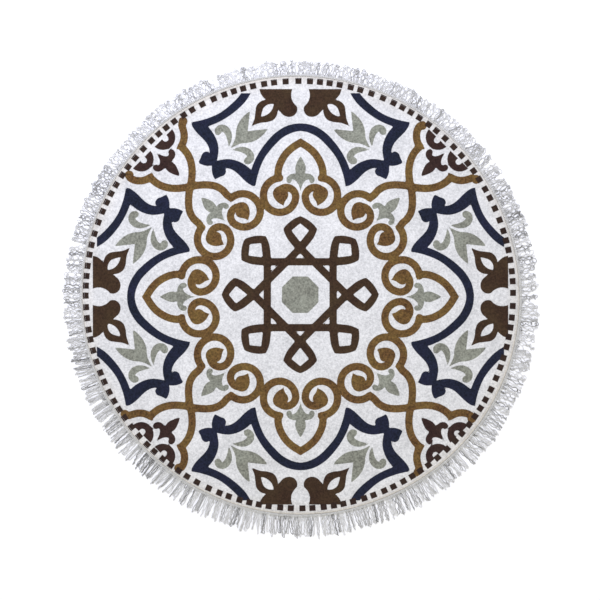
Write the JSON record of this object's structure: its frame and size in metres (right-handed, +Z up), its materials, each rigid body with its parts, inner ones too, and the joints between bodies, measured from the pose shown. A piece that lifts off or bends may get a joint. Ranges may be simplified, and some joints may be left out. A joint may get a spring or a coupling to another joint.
{
  "type": "round beach towel",
  "caption": "Round printed terry beach towel laid flat, with a turned hem and a looped yarn fringe all round its edge.",
  "frame": {"origin": "centre of the cloth's underside, on the surface that the towel lies on", "axes": "+Z up out of the printed face; +Y towards the top of the print as pictured, where the fringe is shortest; +X to its right"},
  "size_m": [1.5031, 1.5007, 0.004],
  "materials": {
    "printed_terry": "short white pile with a printed tile medallion in brown, navy, ochre and grey",
    "fringe_yarn": "soft white plied yarn in loops"
  },
  "bodies": {
    "root": {"cloth": "printed_terry", "fringe": "fringe_yarn"}
  },
  "joints": []
}
